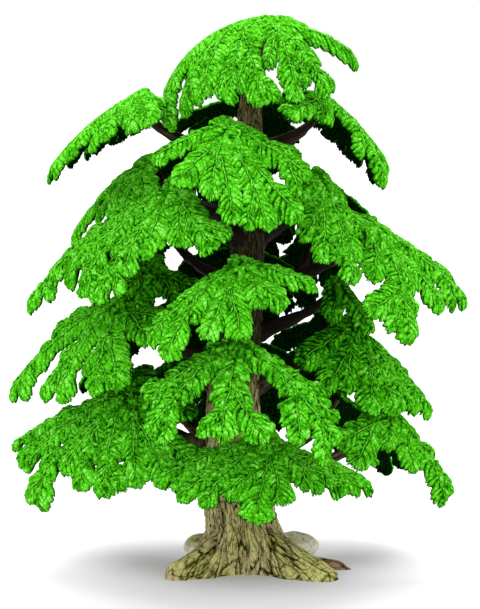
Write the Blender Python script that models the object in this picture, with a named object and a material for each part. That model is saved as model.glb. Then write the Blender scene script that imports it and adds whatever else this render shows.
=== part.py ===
"""A moulded model of a ginkgo tree: trunk on its root foot, two stones, boughs and hand-shaped foliage pads.

Metres, +Z up, origin under the middle of the trunk. The tree faces -Y, and a heading is a compass
angle in degrees from +X, turning towards +Y.
"""

import math
from collections import namedtuple

import bmesh
import bpy
from mathutils import Matrix, Vector, geometry
from mathutils.bvhtree import BVHTree

MM = 0.001
NAME = "model_ginkgo_tree"

# The gap that stays between neighbouring solids
GAP = 0.3 * MM
# Points nearer than this are one point
WELD = 0.001 * MM
# The wider gap that a lobe keeps to the lobes, boughs and trunk that it passes
LOBE_GAP = 0.7 * MM

# Trunk: height, sideways place of its middle, and radius without the roots, in millimetres
TRUNK_STATIONS = (
    (0, 1, 19),
    (6, 1, 18),
    (14, 1, 16.5),
    (26, -1, 15),
    (54, -4, 13.5),
    (76, -5, 11.5),
    (111, 0, 8.5),
    (150, 2, 7),
    (204, 3, 5.4),
    (225, 6, 4),
    (237.7, 8, 3),
)
# Extra rings round the root flare, where the outline changes fast, in millimetres
FLARE_HEIGHTS = (1.5, 3.5, 9, 19, 38)
TRUNK_SIDES = 42
FLUTES = 7
FLUTE_DEPTH = 0.05
# How fast the flutes wind round the trunk, in radians for each metre of height
FLUTE_TWIST = 90

# Roots: heading, reach from the middle, half-width in degrees, and height at the trunk in millimetres
Root = namedtuple("Root", "heading reach spread height")
# A root narrows from its foot to its top by these two rates, and hollows between the two by the third
ROOT_FALL = 0.9
ROOT_FALL_GROWTH = 1.2
ROOT_HOLLOW = 0.25
ROOTS = (
    Root(-139, 45, 20, 19),
    Root(-37, 50, 21, 21),
    Root(-11, 48, 6, 6),
    Root(92, 43, 21, 17),
    Root(-82, 21, 12, 30),
    Root(-108, 20, 10, 24),
)

# Stones moulded on behind the roots: middle, half-lengths and turn in degrees
Stone = namedtuple("Stone", "name middle half turn")
STONES = (
    Stone("stone_left", (-19, 15.5, 5), (7.8, 9, 5.8), -35),
    Stone("stone_right", (23.5, 17, 5.2), (12, 10, 6.2), 25),
)

# Boughs: radius at the trunk and at the tip, and how far below its tip a bough leaves the trunk
BOUGH_ROOT_RADIUS = 3.2 * MM
BOUGH_TIP_RADIUS = 1.7 * MM
BOUGH_RISE = 0.5
BOUGH_STEPS = 5
# How far its two handles lead a bough outwards, upwards and into its stem, as shares of its reach
LEAVING_OUT = 0.4
LEAVING_UP = 0.1
ARRIVING = 0.3
LOWEST_BOUGH = 18 * MM
# A pad's stem: how far below the hub it starts and ends, and how much wider its top is
STEM_TOP = 1.4 * MM
STEM_DROP = 7 * MM
STEM_FLARE = 1.25
STEM_SIDES = 8
# Places tried for a bough's start, up or down the trunk, in millimetres
BOUGH_SHIFTS = (0, -4, 4, -8, 8, -12, 12, -16, 16)
BEADS = 32

# A lobe's cross-section: its ridge stands above its edges, and its underside below them
HALF_WIDTH = 7.2
LOBE_CROWN = 1.9 * MM
LOBE_DEPTH = 1.5 * MM
# A lobe starts narrower at the hub, is widest along its middle and has a round tip
ROOT_WIDTH = 0.62
WIDEST_FROM = 0.4
TIP_FROM = 0.76
STRIP_STATIONS = (0.0, 0.4, 0.76, 0.94, 0.99)
# The underside keeps this share of its depth at the edge, so that the edge isn't a knife's
EDGE_DEPTH = 0.3
# A hand's outline has a corner at these shares of each lobe's length, and none nearer than the angle
CORNERS = (0.74, 0.95)
MERGE_ANGLE = math.radians(2.5)
# Between lobes that are far apart the outline has a corner at least this often
WIDEST_STEP = math.radians(60)
HUB_RADIUS = 5 * MM
READ_STEP = 0.2 * MM
# A hand that bends further than this, in radians, has two rings of faces inside its edge
STRONG_BEND = 0.8
FEW_RINGS = (0.55,)
MORE_RINGS = (0.36, 0.7)
# A lobe that meets another piece is shortened in steps, and left out below the smallest share
SHORTEST_SHARE = 0.4
SHORTEN_STEP = 0.93

# Foliage pads. Each is a hand of lobes lying on a dome: the place of its hub, the way it faces and
# the angle that it hangs at, the dome's radius, and the heading, length and half-width of each lobe.
# A fork is a side lobe: the lobe that it leaves, how far out, the angle it turns and its length.
Pad = namedtuple("Pad", "name hub aim pitch dome lobes forks", defaults=((),))
PADS = (
    Pad(
        "crown",
        (8, 0, 245),
        -140,
        8,
        52,
        (
            (-178, 62, 6),
            (-163, 71, 8),
            (-143, 66),
            (-128, 57),
            (-112, 61),
            (-95, 63, 9),
            (-76, 63, 8),
            (-60, 63, 8),
            (0, 18),
            (40, 28),
            (70, 48),
            (97, 55),
            (122, 54),
            (146, 52),
            (167, 50),
        ),
        ((7, 20, 62, 39),),
    ),
    Pad(
        "upper_front",
        (-8, -36, 198.5),
        -90,
        38,
        90,
        ((-156, 35, 5), (-124, 37), (-99, 39), (-85, 50), (-68, 55), (-53, 57, 8), (-31, 44, 8)),
    ),
    Pad(
        "top_left",
        (-47.5, 0, 211.5),
        -175,
        27,
        105,
        (
            (-177, 56),
            (-150, 46),
            (-118, 43),
            (-99, 41),
            (-87, 49),
            (149, 54),
            (127, 54),
            (113, 55),
            (102, 55),
        ),
    ),
    Pad(
        "top_right",
        (38.5, 0, 209),
        -5,
        37,
        105,
        ((0, 42), (-39, 53), (44, 60), (-88, 34, 6), (-105, 52, 6), (60, 56), (74, 53), (89, 54), (105, 58)),
    ),
    Pad(
        "middle_left",
        (-30.5, -28, 171.5),
        -125,
        42,
        150,
        (
            (-177, 90, 6),
            (-178, 74),
            (-165, 64),
            (-153, 62),
            (-140, 61),
            (-131, 46),
            (-120, 37),
            (-93, 34),
            (-75, 44),
        ),
    ),
    Pad(
        "upper_right",
        (33, -15, 175),
        -75,
        44,
        130,
        ((-128, 35, 5), (-97, 34, 6), (-81, 43), (-63, 44), (-67, 53, 6), (-42, 38, 5)),
    ),
    Pad(
        "upper_left",
        (-42.5, 10, 181),
        -155,
        38,
        120,
        ((161, 60), (-171, 36), (-156, 30), (-126, 34), (-100, 30), (145, 46), (125, 40), (102, 36)),
    ),
    Pad(
        "middle_right",
        (57, -8, 155),
        -45,
        44,
        190,
        ((-3, 59), (-24, 50), (-44, 38), (-59, 62, 8), (-78, 34), (4, 50)),
        ((3, 38, -60, 22),),
    ),
    Pad(
        "middle_front",
        (0, -45, 140),
        -90,
        34,
        80,
        ((-143, 55, 6), (-130, 56), (-113, 41, 6), (-93, 39, 8), (-73, 25), (-51, 29), (-11, 34, 6)),
    ),
    Pad(
        "lower_left",
        (-54, -4, 120.5),
        -130,
        44,
        150,
        ((-177, 73, 7), (-155, 57, 6), (-142, 54), (-120, 48), (-103, 48), (-75, 32), (-50, 34), (165, 42)),
    ),
    Pad(
        "lower_front",
        (-2, -48, 105.5),
        -90,
        42,
        110,
        ((-151, 49), (-136, 55), (-99, 46, 8), (-44, 61), (-33, 48, 6)),
        ((2, 22, 42, 28), (3, 34, -42, 22)),
    ),
    Pad(
        "lower_right",
        (48.5, 0, 109),
        -55,
        46,
        150,
        ((-24, 55, 5), (-35, 46, 6), (-48, 46, 8), (-66, 44), (-84, 36), (-98, 38), (-122, 37)),
    ),
    Pad(
        "bottom_left",
        (-53, -5, 80.5),
        -120,
        44,
        150,
        (
            (176, 64, 4),
            (-175, 62, 5),
            (-167, 60, 5.5),
            (-152, 67, 8),
            (-139, 47),
            (-126, 51),
            (-111, 53),
            (-93, 51),
            (-78, 56),
            (-63, 56),
            (-38, 38),
            (45, 18),
        ),
    ),
    Pad(
        "bottom_right",
        (65, -10, 70),
        -60,
        48,
        150,
        ((-32, 45, 5), (-55, 28, 6), (-84, 18), (-110, 34, 9), (-132, 32)),
    ),
    Pad(
        "bottom_front",
        (9, -40, 64),
        -90,
        38,
        110,
        (
            (-163, 50, 5.5),
            (-147, 46, 6),
            (-133, 41),
            (-96, 41, 10),
            (-76, 33),
            (-45, 35),
            (-35, 43),
            (-21, 53, 6),
        ),
        ((3, 16, -50, 20),),
    ),
    Pad("inner_right", (42, -2, 128.5), -70, 50, 120, ((-91, 21, 5), (-44, 28, 5))),
    Pad("inner_left", (-40.5, 0, 137.5), -90, 50, 120, ((-125, 20, 6), (-100, 20, 6), (-61, 22, 6), (-30, 26, 6))),
    Pad(
        "top_back",
        (2, 38, 213),
        90,
        28,
        60,
        ((20, 24), (48, 38), (75, 50), (104, 53), (133, 48), (163, 40)),
    ),
    Pad(
        "upper_back_left",
        (-30, 40, 187),
        125,
        34,
        80,
        ((74, 44), (98, 53), (121, 57), (144, 55)),
    ),
    Pad(
        "upper_back_right",
        (33, 38, 174),
        58,
        34,
        80,
        ((108, 44), (85, 52), (62, 55), (40, 49), (19, 36)),
    ),
    Pad(
        "middle_back",
        (-3, 50, 166),
        92,
        44,
        70,
        ((44, 36), (68, 46), (92, 49), (116, 47), (140, 38)),
    ),
    Pad(
        "middle_back_left",
        (-38, 38, 156),
        140,
        32,
        85,
        ((90, 20), (113, 46), (136, 50), (159, 49), (180, 42)),
    ),
    Pad(
        "middle_back_right",
        (32, 38, 146),
        62,
        32,
        75,
        ((106, 44), (83, 48), (60, 40), (34, 27), (4, 22)),
    ),
    Pad(
        "lower_back",
        (-2, 44, 139),
        92,
        48,
        70,
        ((24, 30), (48, 40), (70, 46), (92, 48), (115, 46), (138, 40), (160, 34), (174, 30)),
    ),
    Pad(
        "lower_back_left",
        (-40, 36, 108),
        130,
        34,
        90,
        ((56, 42), (78, 47), (147, 50), (168, 50), (-171, 40), (-75, 34)),
    ),
    Pad(
        "lower_back_right",
        (40, 34, 110),
        50,
        34,
        90,
        ((118, 44), (96, 50), (74, 54), (52, 55), (30, 54), (8, 44)),
    ),
    Pad(
        "bottom_back",
        (0, 44, 96),
        90,
        46,
        85,
        ((22, 40), (46, 48), (69, 52), (91, 54), (113, 52), (136, 48), (160, 40)),
    ),
    Pad(
        "bottom_back_left",
        (-42, 36, 82),
        145,
        34,
        90,
        ((96, 42), (120, 50), (143, 54), (166, 50), (-100, 28), (-60, 30)),
    ),
    Pad(
        "bottom_back_right",
        (44, 34, 73),
        40,
        32,
        90,
        ((88, 42), (64, 50), (41, 54), (18, 50)),
    ),
)

CROWN = PADS[0].name

# Each finish: name, colour and roughness. Edges sharper than the angle stay crisp.
SHARP_ANGLE = math.radians(35)
BARK = ("bark_brown", (0.19, 0.155, 0.07), 0.7)
LEAF = ("leaf_green", (0.07, 0.5, 0.03), 0.5)
ROCK = ("stone_olive", (0.3, 0.28, 0.17), 0.7)


def clear_scene():
    for obj in list(bpy.data.objects):
        bpy.data.objects.remove(obj)


def new_collection(name):
    collection = bpy.data.collections.new(name)
    bpy.context.scene.collection.children.link(collection)
    return collection


def painted(finish):
    name, colour, roughness = finish
    material = bpy.data.materials.get(name)
    if material is None:
        material = bpy.data.materials.new(name)
        material.use_nodes = True
        shader = material.node_tree.nodes["Principled BSDF"]
        shader.inputs["Base Color"].default_value = (*colour, 1)
        shader.inputs["Roughness"].default_value = roughness
        shader.inputs["Metallic"].default_value = 0
        material.diffuse_color = (*colour, 1)
    return material


def mesh_object(name, mesh, collection, finish=None):
    obj = bpy.data.objects.new(name, mesh)
    collection.objects.link(obj)
    if finish:
        mesh.materials.clear()
        mesh.materials.append(painted(finish))
        mesh.shade_smooth()
        mesh.set_sharp_from_angle(angle=SHARP_ANGLE)
    return obj


def loft(name, rings):
    """A closed mesh through rings of as many points, each counter-clockwise seen from its far side."""
    shape = bmesh.new()
    rows = [[shape.verts.new(point) for point in ring] for ring in rings]
    for low, high in zip(rows, rows[1:]):
        for k in range(len(low)):
            following = (k + 1) % len(low)
            shape.faces.new((low[k], low[following], high[following], high[k]))
    shape.faces.new(rows[0][::-1])
    shape.faces.new(rows[-1])
    bmesh.ops.recalc_face_normals(shape, faces=shape.faces)
    mesh = bpy.data.meshes.new(name)
    shape.to_mesh(mesh)
    shape.free()
    return mesh


def trunk_at(height):
    """The trunk's middle and radius at a height, in metres."""
    stations = [(z * MM, x * MM, r * MM) for z, x, r in TRUNK_STATIONS]
    for (z0, x0, r0), (z1, x1, r1) in zip(stations, stations[1:]):
        if height <= z1:
            share = (height - z0) / (z1 - z0)
            return Vector((x0 + (x1 - x0) * share, 0, height)), r0 + (r1 - r0) * share
    return Vector((stations[-1][1], 0, height)), stations[-1][2]


def turned_by(angle, heading):
    """The difference between two compass angles in degrees, from 0 to 180."""
    return abs((angle - heading + 180) % 360 - 180)


def root_reach(root, angle, height, radius):
    """How far a root stands out of the trunk on this side, at this height."""
    share = height / (root.height * MM)
    if share >= 1:
        return 0
    side = turned_by(angle, root.heading) / root.spread
    across = math.exp(-(side**2) * (ROOT_FALL + ROOT_FALL_GROWTH * share))
    along = (1 - share**2) ** 2 * (1 - ROOT_HOLLOW * share)
    return (root.reach * MM - radius) * across * along


def trunk_ring(height, swell):
    middle, radius = trunk_at(height)
    ring = []
    for side in range(TRUNK_SIDES):
        angle = 360 * side / TRUNK_SIDES
        turn = math.radians(angle)
        flute = 1 + FLUTE_DEPTH * math.cos(FLUTES * turn + FLUTE_TWIST * height)
        reach = radius * flute + max(root_reach(root, angle, height, radius) for root in ROOTS) + swell
        ring.append(middle + Vector((math.cos(turn), math.sin(turn), 0)) * reach)
    return ring


def trunk_mesh(name, swell=0.0):
    """The trunk from its flat foot to its tip. The swollen copy cuts the boughs and stones clear of it."""
    heights = sorted([z * MM for z, _, _ in TRUNK_STATIONS] + [z * MM for z in FLARE_HEIGHTS])
    rings = [trunk_ring(height, swell) for height in heights]
    if swell:
        lift = Vector((0, 0, 2 * swell))
        rings.insert(0, [point - lift for point in rings[0]])
        rings.append([point + lift for point in rings[-1]])
    return loft(name, rings)


def cut_by(obj, cutter):
    cut = obj.modifiers.new("clear_of_" + cutter.name, "BOOLEAN")
    cut.operation = "DIFFERENCE"
    cut.object = cutter
    cut.solver = "EXACT"


def add_stone(stone, collection, cutter):
    shape = bmesh.new()
    bmesh.ops.create_uvsphere(shape, u_segments=12, v_segments=8, radius=1)
    half = Vector(stone.half) * MM
    place = Matrix.Translation(Vector(stone.middle) * MM) @ Matrix.Rotation(math.radians(stone.turn), 4, "Z")
    shape.transform(place @ Matrix.Diagonal((*half, 1)))
    cut = bmesh.ops.bisect_plane(
        shape,
        geom=shape.verts[:] + shape.edges[:] + shape.faces[:],
        plane_co=(0, 0, 0),
        plane_no=(0, 0, 1),
        clear_inner=True,
    )
    edges = [edge for edge in cut["geom_cut"] if isinstance(edge, bmesh.types.BMEdge)]
    bmesh.ops.contextual_create(shape, geom=edges)
    bmesh.ops.recalc_face_normals(shape, faces=shape.faces)
    mesh = bpy.data.meshes.new(stone.name)
    shape.to_mesh(mesh)
    shape.free()
    cut_by(mesh_object(stone.name, mesh, collection, ROCK), cutter)


class Dome:
    """The domed surface that a pad's lobes lie on, read in plane distances from the pad's hub."""

    def __init__(self, pad):
        aim = math.radians(pad.aim)
        pitch = math.radians(pad.pitch)
        self.hub = Vector(pad.hub) * MM
        self.radius = pad.dome * MM
        ahead = Vector((math.cos(aim), math.sin(aim), 0))
        upright = Vector((0, 0, 1))
        self.out = ahead * math.cos(pitch) - upright * math.sin(pitch)
        self.side = Vector((-math.sin(aim), math.cos(aim), 0))
        self.up = ahead * math.sin(pitch) + upright * math.cos(pitch)
        self.stem = upright if pad.name == CROWN else self.up

    def point(self, ahead, across, lift=0.0):
        distance = math.hypot(ahead, across)
        bend = distance / self.radius
        share = math.sin(bend) / bend if bend else 1
        drop = self.radius * (1 - math.cos(bend))
        # The lift is taken along the dome's own normal there
        outward = Vector((ahead, across)) / distance * math.sin(bend) if distance else Vector((0, 0))
        flat = Vector((ahead, across)) * share + outward * lift
        return self.hub + self.out * flat.x + self.side * flat.y + self.up * (lift * math.cos(bend) - drop)


Lobe = namedtuple("Lobe", "start turn length half_width")


def lobes_of(pad):
    """The pad's lobes in its dome's plane, in metres and radians from the way it faces."""
    found = []
    for heading, length, *width in pad.lobes:
        half_width = width[0] if width else HALF_WIDTH
        found.append(Lobe(Vector((0, 0)), math.radians(heading - pad.aim), length * MM, half_width * MM))
    for index, distance, turn, length in pad.forks:
        parent = found[index]
        along = Vector((math.cos(parent.turn), math.sin(parent.turn)))
        start = parent.start + along * distance * MM
        found.append(Lobe(start, parent.turn + math.radians(turn), length * MM, parent.half_width))
    return found


def width_share(share):
    """A lobe's width at a share of its length, as a share of its greatest width."""
    grown = ROOT_WIDTH + (1 - ROOT_WIDTH) * min(1, max(0, share) / WIDEST_FROM)
    past = max(0, share - TIP_FROM) / (1 - TIP_FROM)
    return grown * math.sqrt(max(0, 1 - past**2))


def strip_mesh(name, dome, lobe, swell=0.0):
    """One lobe by itself: a ridged strip with a round tip."""
    along = Vector((math.cos(lobe.turn), math.sin(lobe.turn)))
    across = Vector((-along.y, along.x))
    rings = []
    for share in STRIP_STATIONS:
        width = width_share(share)
        middle = lobe.start + along * (lobe.length + swell) * share
        half = lobe.half_width * width + swell
        left = middle + across * half
        right = middle - across * half
        rings.append(
            (
                dome.point(left.x, left.y, -LOBE_CROWN),
                dome.point(middle.x, middle.y, -(LOBE_CROWN + LOBE_DEPTH) - swell),
                dome.point(right.x, right.y, -LOBE_CROWN),
                dome.point(middle.x, middle.y, swell),
            )
        )
    return loft(name, rings)


def share_across(lobe, ahead, across):
    """How far a point lies from a lobe's ridge towards its edge: 0 on the ridge, 1 at the edge or past it."""
    along = Vector((math.cos(lobe.turn), math.sin(lobe.turn)))
    point = Vector((ahead, across))
    share = point.dot(along) / lobe.length
    half = lobe.half_width * width_share(share) if 0 <= share <= 1 else 0
    return min(1, abs(point.cross(along)) / half) if half > 0 else 1


def hand_reach(lobes, angle):
    """How far out from the hub the joined lobes reach at an angle in the dome's plane."""
    ray = Vector((math.cos(angle), math.sin(angle)))
    best = HUB_RADIUS
    for lobe in lobes:
        if math.cos(angle - lobe.turn) <= 0:
            continue
        distance = lobe.length
        while distance > best:
            if share_across(lobe, ray.x * distance, ray.y * distance) < 1:
                best = distance
                break
            distance -= READ_STEP
    return best


def hand_angles(lobes):
    """The angles at which the hand's outline has a corner: tips, shoulders, and the notches between lobes."""
    turns = sorted(lobe.turn % math.tau for lobe in lobes)
    tips = set(turns)
    found = list(turns)
    for lobe in lobes:
        for share in CORNERS:
            spread = math.atan2(lobe.half_width * width_share(share), lobe.length * share)
            found += [(lobe.turn - spread) % math.tau, (lobe.turn + spread) % math.tau]
    for this, following in zip(turns, turns[1:] + [turns[0] + math.tau]):
        steps = max(2, round((following - this) / WIDEST_STEP))
        found += [(this + (following - this) * k / steps) % math.tau for k in range(1, steps)]
    kept = []
    for angle in sorted(found):
        if kept and angle - kept[-1] < MERGE_ANGLE:
            if angle in tips:
                kept[-1] = angle
            continue
        kept.append(angle)
    if kept[0] + math.tau - kept[-1] < MERGE_ANGLE:
        kept.pop()
    return kept


def hand_mesh(name, dome, lobes):
    """All the lobes that leave the hub, as one ridged hand with a thin edge all round."""
    angles = hand_angles(lobes)
    reaches = [hand_reach(lobes, angle) for angle in angles]
    bend = max(reaches) / dome.radius
    shares = MORE_RINGS if bend > STRONG_BEND else FEW_RINGS
    shape = bmesh.new()

    def vertex(angle, reach, upper):
        ahead = math.cos(angle) * reach
        across = math.sin(angle) * reach
        edge = min(share_across(lobe, ahead, across) for lobe in lobes)
        lift = -LOBE_CROWN * edge if upper else -LOBE_CROWN - LOBE_DEPTH * (1 - edge)
        if not upper:
            lift = min(lift, -LOBE_CROWN - EDGE_DEPTH * LOBE_DEPTH)
        return shape.verts.new(dome.point(ahead, across, lift))

    rim = [
        shape.verts.new(dome.point(math.cos(angle) * reach, math.sin(angle) * reach, -LOBE_CROWN))
        for angle, reach in zip(angles, reaches)
    ]
    for upper in (True, False):
        middle = shape.verts.new(dome.point(0, 0, 0 if upper else -LOBE_CROWN - LOBE_DEPTH))
        rows = [[vertex(a, r * share, upper) for a, r in zip(angles, reaches)] for share in shares] + [rim]
        for k in range(len(angles)):
            following = (k + 1) % len(angles)
            shape.faces.new((middle, rows[0][k], rows[0][following]))
            for inner, outer in zip(rows, rows[1:]):
                shape.faces.new((inner[k], outer[k], outer[following], inner[following]))
    bmesh.ops.recalc_face_normals(shape, faces=shape.faces)
    mesh = bpy.data.meshes.new(name)
    shape.to_mesh(mesh)
    shape.free()
    return mesh


def tree_of(mesh):
    return [vertex.co.copy() for vertex in mesh.vertices], [tuple(face.vertices) for face in mesh.polygons]


class Taken:
    """The space that finished pieces already fill."""

    def __init__(self):
        self.trees = []

    def add(self, mesh):
        self.trees.append(BVHTree.FromPolygons(*tree_of(mesh)))

    def touches(self, mesh):
        tree = BVHTree.FromPolygons(*tree_of(mesh))
        return any(tree.overlap(other) for other in self.trees)


def fitted_lobe(dome, lobe, taken):
    """The lobe, shortened until it clears the other pieces, or None where too little of it would be left."""
    length = lobe.length
    while length > SHORTEST_SHARE * lobe.length:
        tried = lobe._replace(length=length)
        swollen = strip_mesh("swollen", dome, tried, LOBE_GAP)
        touching = taken.touches(swollen)
        bpy.data.meshes.remove(swollen)
        if not touching:
            return tried
        length *= SHORTEN_STEP
    return None


def stem_mesh(name, dome):
    """The short stem under the hub, which stands on its bough's tip."""
    shape = bmesh.new()
    depth = STEM_DROP - STEM_TOP
    middle = dome.hub - dome.stem * (STEM_TOP + depth / 2)
    turn = Vector((0, 0, 1)).rotation_difference(dome.stem).to_matrix().to_4x4()
    bmesh.ops.create_cone(
        shape,
        cap_ends=True,
        segments=STEM_SIDES,
        radius1=BOUGH_TIP_RADIUS,
        radius2=BOUGH_TIP_RADIUS * STEM_FLARE,
        depth=depth,
        matrix=Matrix.Translation(middle) @ turn,
    )
    mesh = bpy.data.meshes.new(name)
    shape.to_mesh(mesh)
    shape.free()
    return mesh


def largest_body(mesh):
    """Leaves out loose scraps and the walls of sealed hollows, which joining lobes can leave."""
    shape = bmesh.new()
    shape.from_mesh(mesh)
    bmesh.ops.remove_doubles(shape, verts=shape.verts, dist=WELD)
    left = set(shape.faces)
    bodies = []
    while left:
        body = {left.pop()}
        edge_of_body = list(body)
        while edge_of_body:
            face = edge_of_body.pop()
            for edge in face.edges:
                for other in edge.link_faces:
                    if other in left:
                        left.remove(other)
                        body.add(other)
                        edge_of_body.append(other)
        bodies.append(body)
    bodies.sort(key=len)
    for body in bodies[:-1]:
        bmesh.ops.delete(shape, geom=list(body), context="FACES")
    loose = [vertex for vertex in shape.verts if not vertex.link_faces]
    bmesh.ops.delete(shape, geom=loose, context="VERTS")
    shape.to_mesh(mesh)
    shape.free()


def joined(name, meshes):
    """One closed mesh from overlapping ones, by a Boolean union on a collection."""
    group = new_collection("joining_" + name)
    first = mesh_object(name, meshes[0], bpy.context.scene.collection)
    for mesh in meshes[1:]:
        mesh_object(mesh.name, mesh, group)
    union = first.modifiers.new("join", "BOOLEAN")
    union.operation = "UNION"
    union.operand_type = "COLLECTION"
    union.collection = group
    union.solver = "MANIFOLD"
    bpy.context.view_layer.update()
    graph = bpy.context.evaluated_depsgraph_get()
    result = bpy.data.meshes.new_from_object(first.evaluated_get(graph))
    for obj in list(group.objects) + [first]:
        mesh = obj.data
        bpy.data.objects.remove(obj)
        bpy.data.meshes.remove(mesh)
    bpy.data.collections.remove(group)
    largest_body(result)
    result.name = name
    return result


def add_pad(pad, collection, taken):
    dome = Dome(pad)
    name = "foliage_" + pad.name
    lobes = [fitted_lobe(dome, lobe, taken) for lobe in lobes_of(pad)]
    hand = [lobe for lobe in lobes[: len(pad.lobes)] if lobe] or lobes_of(pad)[:1]
    forks = [lobe for lobe in lobes[len(pad.lobes) :] if lobe]
    meshes = [hand_mesh(name, dome, hand), stem_mesh(name + "_stem", dome)]
    meshes += [strip_mesh(f"{name}_fork_{index}", dome, fork) for index, fork in enumerate(forks)]
    mesh = joined(name, meshes)
    mesh_object(name, mesh, collection, LEAF)
    taken.add(mesh)


def bough_line(pad, shift):
    """Start, two handles and end of a pad's bough, with its start moved up the trunk by the shift."""
    dome = Dome(pad)
    end = dome.hub - dome.stem * (STEM_DROP + GAP)
    away = math.hypot(end.x, end.y)
    start, _ = trunk_at(max(LOWEST_BOUGH, end.z - BOUGH_RISE * away + shift))
    level = Vector((end.x - start.x, end.y - start.y, 0))
    leaving = start + level * LEAVING_OUT + Vector((0, 0, LEAVING_UP * away))
    arriving = end - dome.stem * ARRIVING * away
    return start, leaving, arriving, end


def bough_beads(line):
    """Points along a bough outside the trunk, each with the bough's radius there."""
    points = geometry.interpolate_bezier(*line, BEADS)
    beads = []
    for k, point in enumerate(points):
        radius = BOUGH_ROOT_RADIUS + (BOUGH_TIP_RADIUS - BOUGH_ROOT_RADIUS) * k / (BEADS - 1)
        middle, trunk_radius = trunk_at(point.z)
        if (point - middle).length > trunk_radius * (1 + FLUTE_DEPTH):
            beads.append((point, radius))
    return beads


def free_line(pad, others):
    """The bough's line with the smallest shift that takes it clear of the boughs already placed."""
    for shift in BOUGH_SHIFTS:
        line = bough_line(pad, shift * MM)
        beads = bough_beads(line)
        gaps = [(a - b).length - r - s for a, r in beads for b, s in others]
        if not gaps or min(gaps) > LOBE_GAP:
            break
    others += beads
    return line


def add_bough(pad, line, collection, cutter, taken):
    """One tapering limb from inside the trunk to just under its pad's stem."""
    name = "bough_" + pad.name
    start, leaving, arriving, end = line
    curve = bpy.data.curves.new(name, "CURVE")
    curve.dimensions = "3D"
    curve.bevel_depth = 1
    curve.bevel_resolution = 1
    curve.use_fill_caps = True
    curve.resolution_u = BOUGH_STEPS
    spline = curve.splines.new("BEZIER")
    spline.bezier_points.add(1)
    first, last = spline.bezier_points
    first.co, first.handle_left, first.handle_right = start, start - (leaving - start), leaving
    last.co, last.handle_left, last.handle_right = end, arriving, end + (end - arriving)
    first.radius, last.radius = BOUGH_ROOT_RADIUS, BOUGH_TIP_RADIUS
    guide = bpy.data.objects.new(name + "_curve", curve)
    bpy.context.scene.collection.objects.link(guide)
    bpy.context.view_layer.update()
    graph = bpy.context.evaluated_depsgraph_get()
    mesh = bpy.data.meshes.new_from_object(guide.evaluated_get(graph))
    bpy.data.objects.remove(guide)
    bpy.data.curves.remove(curve)
    shape = bmesh.new()
    shape.from_mesh(mesh)
    bmesh.ops.remove_doubles(shape, verts=shape.verts, dist=WELD)
    bmesh.ops.recalc_face_normals(shape, faces=shape.faces)
    shape.to_mesh(mesh)
    shape.free()
    mesh.name = name
    cut_by(mesh_object(name, mesh, collection, BARK), cutter)
    taken.add(mesh)


clear_scene()
tree = new_collection(NAME)
cutters = new_collection("cutters")

clearance = mesh_object("trunk_clearance", trunk_mesh("trunk_clearance", GAP), cutters)
clearance.hide_render = True
clearance.display_type = "WIRE"

trunk = mesh_object("trunk", trunk_mesh("trunk"), tree, BARK)
filled = Taken()
filled.add(trunk.data)
for stone in STONES:
    add_stone(stone, tree, clearance)
beads = []
for pad in PADS[1:]:
    add_bough(pad, free_line(pad, beads), tree, clearance, filled)
for pad in PADS:
    add_pad(pad, tree, filled)
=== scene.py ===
import math
from collections import namedtuple

import bpy
import numpy as np
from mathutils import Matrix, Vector, geometry


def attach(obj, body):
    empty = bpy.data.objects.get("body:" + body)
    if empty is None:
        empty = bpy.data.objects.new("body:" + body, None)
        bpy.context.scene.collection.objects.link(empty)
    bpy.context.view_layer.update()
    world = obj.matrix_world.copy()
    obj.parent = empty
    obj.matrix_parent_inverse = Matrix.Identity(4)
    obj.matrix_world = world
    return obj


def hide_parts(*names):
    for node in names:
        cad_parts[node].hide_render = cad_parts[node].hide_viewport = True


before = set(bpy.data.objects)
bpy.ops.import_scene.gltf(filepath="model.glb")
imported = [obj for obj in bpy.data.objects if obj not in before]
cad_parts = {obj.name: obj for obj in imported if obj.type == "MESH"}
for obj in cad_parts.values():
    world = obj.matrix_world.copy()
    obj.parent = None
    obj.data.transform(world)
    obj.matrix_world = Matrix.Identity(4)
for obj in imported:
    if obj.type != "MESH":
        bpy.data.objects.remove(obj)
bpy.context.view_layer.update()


# Trunk
# One hollow moulding of hard vinyl, cast in one with its spreading roots and cut flat underneath.
# The bark's furrows are cut in the mould and run down the trunk and out along each root. A dark brown
# wash is flooded into them, the ridges are dry-brushed pale, and moss green is spotted on the roots.

# Sizes here are in millimetres, and the frame's are in metres
MM = 0.001

# Height, sideways place of the middle, and radius without the roots
TRUNK_STATIONS = (
    (0, 1, 19), (6, 1, 18), (14, 1, 16.5), (26, -1, 15), (54, -4, 13.5), (76, -5, 11.5),
    (111, 0, 8.5), (150, 2, 7), (204, 3, 5.4), (225, 6, 4), (237.7, 8, 3),
)
TRUNK_TOP = 241
TRUNK_SIDES = 400
TRUNK_RINGS = 240
# Rings are this far apart at the foot, and spread out with this power of the way up
FOOT_STEP = 0.28
RING_SPREAD = 2.4
FLUTES, FLUTE_DEPTH, FLUTE_TWIST = 7, 0.05, 0.09

Root = namedtuple("Root", "heading reach spread height")
ROOTS = (
    Root(-139, 45, 20, 19),
    Root(-37, 50, 21, 21),
    Root(-11, 48, 6, 6),
    Root(92, 43, 21, 17),
    Root(-82, 21, 12, 30),
    Root(-108, 20, 10, 24),
)
# A root falls away to its sides, more steeply higher up, and its back is hollowed by this share
ROOT_FALL, ROOT_FALL_GROWTH, ROOT_HOLLOW = 0.9, 1.2, 0.25
# Two roots end in sawn wood, from this share of their reach and painted this much darker. The cut comes
# in over this stretch, and clears this much cover off.
CUT_ROOTS = ((ROOTS[0], 0.93, 0.0), (ROOTS[2], 0.7, 0.4))
CUT_EDGE, CUT_BARE = 1.5, 1.6

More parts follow.
